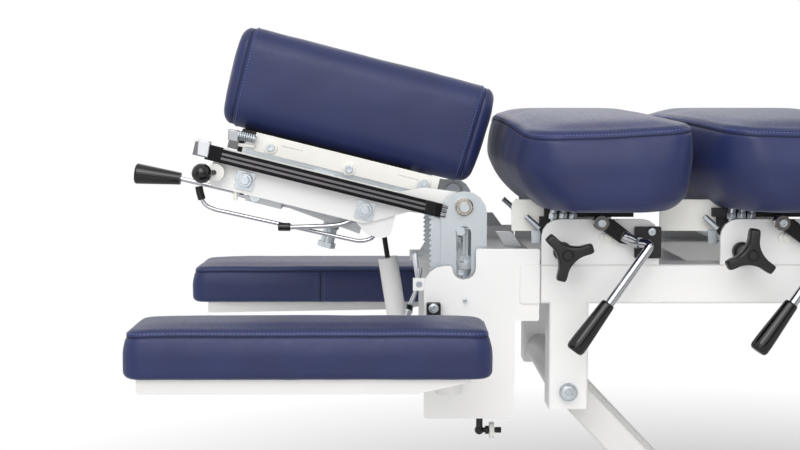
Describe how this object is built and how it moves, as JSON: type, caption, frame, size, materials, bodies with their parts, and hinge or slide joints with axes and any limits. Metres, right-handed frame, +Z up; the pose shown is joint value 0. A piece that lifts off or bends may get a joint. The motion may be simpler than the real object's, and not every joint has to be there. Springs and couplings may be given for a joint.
{
  "type": "chiropractic table",
  "caption": "Height-adjustable chiropractic table with a cushioned deck of drop sections, a tilting split head section and two padded armrests on a parallel-arm lift.",
  "frame": {"origin": "on the floor under the middle of the table's bounding box", "axes": "+X towards the foot end, +Z up, the side with the knobs and levers faces -Y"},
  "size_m": [1.8272, 0.7547, 0.8643],
  "materials": {
    "white_paint": "smooth, semi-gloss",
    "cream_paint": "smooth, semi-gloss",
    "leather": "grained, satin",
    "board": "black painted board",
    "rubber": "matte",
    "zinc": "bright zinc plating",
    "chrome": "polished",
    "black_plastic": "smooth",
    "black_rail": "black anodised",
    "grey_aluminium": "satin",
    "grey_plastic": "matte",
    "dark_steel": "dark plated"
  },
  "bodies": {
    "base": {"base_frame": "white_paint", "levelling_feet": "rubber", "base_pivot_bolts": "zinc"},
    "head_lift": {"head_lift_arms": "white_paint"},
    "foot_lift_frame": {"foot_lift_arms": "white_paint"},
    "actuator_body": {"actuator_housing": "grey_plastic"},
    "actuator_push": {"actuator_rod": "chrome"},
    "top": {"top_frame": "white_paint", "section_plates": "white_paint", "lift_pivot_bolts": "zinc", "casing_plates": "white_paint", "riser_guides": "zinc", "catch_blocks": "black_plastic", "ball_link": "dark_steel", "drop_adjusters": "zinc", "control_pins": "zinc", "armrest_sleeves": "white_paint", "leg_board": "board", "leg_cushion": "leather"},
    "riser": {"riser_bracket": "zinc", "tilt_bolts": "zinc"},
    "release": {"riser_release": "zinc"},
    "gas_body": {"gas_cylinder": "white_paint"},
    "gas_plunger": {"gas_rod": "black_plastic"},
    "head_frame": {"head_arms": "white_paint", "head_pan": "grey_aluminium", "slide_rails": "black_rail", "slide_fittings": "chrome", "spring_tube": "zinc", "head_bolts": "zinc"},
    "carriage": {"head_carriage": "zinc"},
    "head_section": {"head_plates": "cream_paint", "head_board": "board", "head_cushion_near": "leather", "head_cushion_far": "leather"},
    "bail": {"head_bail": "chrome"},
    "head_cocking_handle": {"head_handle": "black_plastic"},
    "head_tension_ball": {"tension_ball": "black_plastic"},
    "near_post": {"near_armrest_post": "chrome"},
    "near_armrest": {"near_armrest_tray": "white_paint", "near_armrest_cushion": "leather"},
    "far_post": {"far_armrest_post": "chrome"},
    "far_armrest": {"far_armrest_tray": "white_paint", "far_armrest_cushion": "leather"},
    "chest_section": {"chest_board": "board", "chest_cushion": "leather"},
    "chest_cocking_lever": {"chest_lever": "chrome", "chest_grip": "black_plastic"},
    "chest_tension_knob": {"chest_knob": "black_plastic"},
    "lumbar_section": {"lumbar_board": "board", "lumbar_cushion": "leather"},
    "lumbar_cocking_lever": {"lumbar_lever": "chrome", "lumbar_grip": "black_plastic"},
    "lumbar_tension_knob": {"lumbar_knob": "black_plastic"},
    "pelvic_section": {"pelvic_board": "board", "pelvic_cushion": "leather"},
    "pelvic_cocking_lever": {"pelvic_lever": "chrome", "pelvic_grip": "black_plastic"},
    "pelvic_tension_knob": {"pelvic_knob": "black_plastic"}
  },
  "joints": [
    {"name": "lift", "type": "hinge", "parent": "base", "child": "head_lift", "pos_m": [-0.05601, 0, 0.0855], "axis": [0, 1, 0], "range_deg": [-20, 22]},
    {"name": "top_level", "type": "hinge", "parent": "head_lift", "child": "top", "pos_m": [-0.352, 0, 0.39741], "axis": [0, 1, 0], "range_deg": [-22, 20]},
    {"name": "foot_lift", "type": "hinge", "parent": "base", "child": "foot_lift_frame", "pos_m": [0.64399, 0, 0.0855], "axis": [0, 1, 0], "range_deg": [-20, 22]},
    {"name": "actuator_swing", "type": "hinge", "parent": "base", "child": "actuator_body", "pos_m": [0.124, 0, 0.11], "axis": [0, 1, 0], "range_deg": [-1, 1]},
    {"name": "actuator_stroke", "type": "slide", "parent": "actuator_body", "child": "actuator_push", "axis": [0.9864, 0, 0.1644], "range_m": [-0.038, 0.042]},
    {"name": "chest_drop", "type": "hinge", "parent": "top", "child": "chest_section", "pos_m": [-0.378, 0, 0.60641], "axis": [0, 1, 0], "range_deg": [0, 2.5]},
    {"name": "lumbar_drop", "type": "hinge", "parent": "top", "child": "lumbar_section", "pos_m": [-0.151, 0, 0.60641], "axis": [0, 1, 0], "range_deg": [0, 2.5]},
    {"name": "pelvic_drop", "type": "hinge", "parent": "top", "child": "pelvic_section", "pos_m": [0.076, 0, 0.60641], "axis": [0, 1, 0], "range_deg": [0, 2.5]},
    {"name": "chest_cocking", "type": "hinge", "parent": "top", "child": "chest_cocking_lever", "pos_m": [-0.268, 0, 0.59341], "axis": [0, 1, 0], "range_deg": [-60, 0]},
    {"name": "lumbar_cocking", "type": "hinge", "parent": "top", "child": "lumbar_cocking_lever", "pos_m": [-0.041, 0, 0.59341], "axis": [0, 1, 0], "range_deg": [-60, 0]},
    {"name": "pelvic_cocking", "type": "hinge", "parent": "top", "child": "pelvic_cocking_lever", "pos_m": [0.186, 0, 0.59341], "axis": [0, 1, 0], "range_deg": [-60, 0]},
    {"name": "chest_tension", "type": "hinge", "parent": "top", "child": "chest_tension_knob", "pos_m": [-0.363, 0, 0.58141], "axis": [0, 1, 0], "continuous": true},
    {"name": "lumbar_tension", "type": "hinge", "parent": "top", "child": "lumbar_tension_knob", "pos_m": [-0.136, 0, 0.58141], "axis": [0, 1, 0], "continuous": true},
    {"name": "pelvic_tension", "type": "hinge", "parent": "top", "child": "pelvic_tension_knob", "pos_m": [0.091, 0, 0.58141], "axis": [0, 1, 0], "continuous": true},
    {"name": "head_rise", "type": "slide", "parent": "top", "child": "riser", "axis": [0, 0, 1], "range_m": [-0.04, 0]},
    {"name": "head_tilt", "type": "hinge", "parent": "riser", "child": "head_frame", "pos_m": [-0.486, 0, 0.63441], "axis": [0, 1, 0], "range_deg": [-22, 5]},
    {"name": "head_slide", "type": "slide", "parent": "head_frame", "child": "carriage", "axis": [-0.9703, 0, 0.2419], "range_m": [0, 0.06]},
    {"name": "head_drop", "type": "hinge", "parent": "carriage", "child": "head_section", "pos_m": [-0.53743, 0, 0.6596], "axis": [0, 1, 0], "range_deg": [-2, 0]},
    {"name": "head_cocking", "type": "hinge", "parent": "head_frame", "child": "head_cocking_handle", "pos_m": [-0.74941, 0, 0.66092], "axis": [0, 1, 0], "range_deg": [0, 10]},
    {"name": "head_bail_swing", "type": "hinge", "parent": "head_frame", "child": "bail", "pos_m": [-0.61211, 0, 0.61638], "axis": [0, 1, 0], "range_deg": [0, 6]},
    {"name": "head_tension", "type": "hinge", "parent": "head_frame", "child": "head_tension_ball", "pos_m": [-0.80181, 0, 0.67811], "axis": [0, 1, 0], "range_deg": [-60, 60]},
    {"name": "gas_swing", "type": "hinge", "parent": "riser", "child": "gas_body", "pos_m": [-0.56, 0, 0.39941], "axis": [0, 1, 0], "range_deg": [-1, 4.1]},
    {"name": "gas_stroke", "type": "slide", "parent": "gas_body", "child": "gas_plunger", "axis": [-0.1535, 0, 0.9882], "range_m": [-0.04, 0.009]},
    {"name": "riser_release_swing", "type": "hinge", "parent": "top", "child": "release", "pos_m": [-0.543, 0, 0.53541], "axis": [0, 1, 0], "range_deg": [0, 15]},
    {"name": "near_armrest_height", "type": "slide", "parent": "top", "child": "near_post", "axis": [0, 0, 1], "range_m": [0, 0.045]},
    {"name": "near_armrest_swing", "type": "hinge", "parent": "near_post", "child": "near_armrest", "pos_m": [-0.506, -0.206, 0.48341], "axis": [0, 0, 1], "range_deg": [0, 45]},
    {"name": "far_armrest_height", "type": "slide", "parent": "top", "child": "far_post", "axis": [0, 0, 1], "range_m": [0, 0.045]},
    {"name": "far_armrest_swing", "type": "hinge", "parent": "far_post", "child": "far_armrest", "pos_m": [-0.506, 0.206, 0.48341], "axis": [0, 0, 1], "range_deg": [-45, 0]}
  ],
  "couplings": [
    {"joint": "top_level", "follows": "lift", "ratio": -1},
    {"joint": "foot_lift", "follows": "lift", "ratio": 1},
    {"joint": "actuator_swing", "follows": "lift", "ratio": 0.0198},
    {"joint": "actuator_stroke", "follows": "lift", "m_per_rad": 0.10802},
    {"joint": "gas_swing", "follows": "head_tilt", "ratio": -0.179},
    {"joint": "gas_stroke", "follows": "head_tilt", "m_per_rad": 0.10185}
  ]
}
